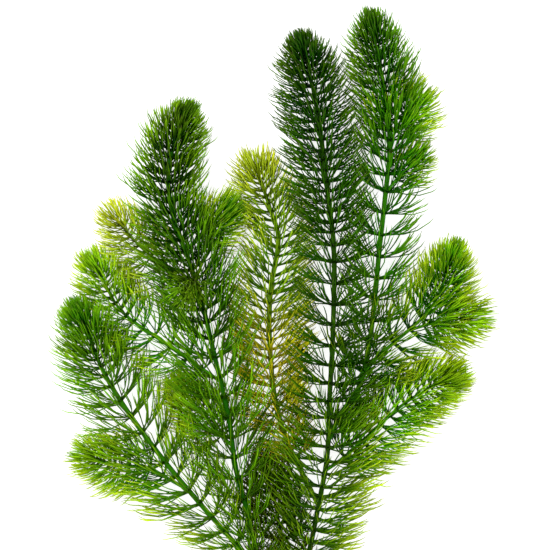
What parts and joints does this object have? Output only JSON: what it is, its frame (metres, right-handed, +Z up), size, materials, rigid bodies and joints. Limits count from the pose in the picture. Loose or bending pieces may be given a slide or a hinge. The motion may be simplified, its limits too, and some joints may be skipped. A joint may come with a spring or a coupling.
{
  "type": "hornwort",
  "caption": "Branching sprig of hornwort, a water plant with whorls of thread-like forked leaves, lying flat on its side as cut.",
  "frame": {"origin": "on the surface the plant lies on, under the middle of its outline", "axes": "+Y from the cut stem to the growing tips, +Z up from the surface, +X to the right seen from above"},
  "size_m": [0.2136, 0.3006, 0.0494],
  "materials": {
    "deep_green_leaf": "matte",
    "green_leaf": "matte",
    "lime_leaf": "matte",
    "yellow_leaf": "matte",
    "olive_leaf": "matte"
  },
  "bodies": {
    "root": {"main_shoot": "deep_green_leaf", "left_shoot": "deep_green_leaf", "right_shoot": "green_leaf", "lower_left_shoot": "green_leaf", "middle_shoot": "yellow_leaf", "right_branch": "lime_leaf", "left_branch": "lime_leaf", "lower_right_branch": "lime_leaf", "upper_left_branch": "yellow_leaf", "inner_left_branch": "green_leaf", "low_left_branch": "lime_leaf", "hidden_left_branch": "lime_leaf", "upper_right_twig": "yellow_leaf", "middle_right_twig": "lime_leaf", "right_branch_fork": "lime_leaf", "low_middle_shoot": "olive_leaf", "upright_twig": "olive_leaf", "middle_twig": "yellow_leaf"}
  },
  "joints": []
}
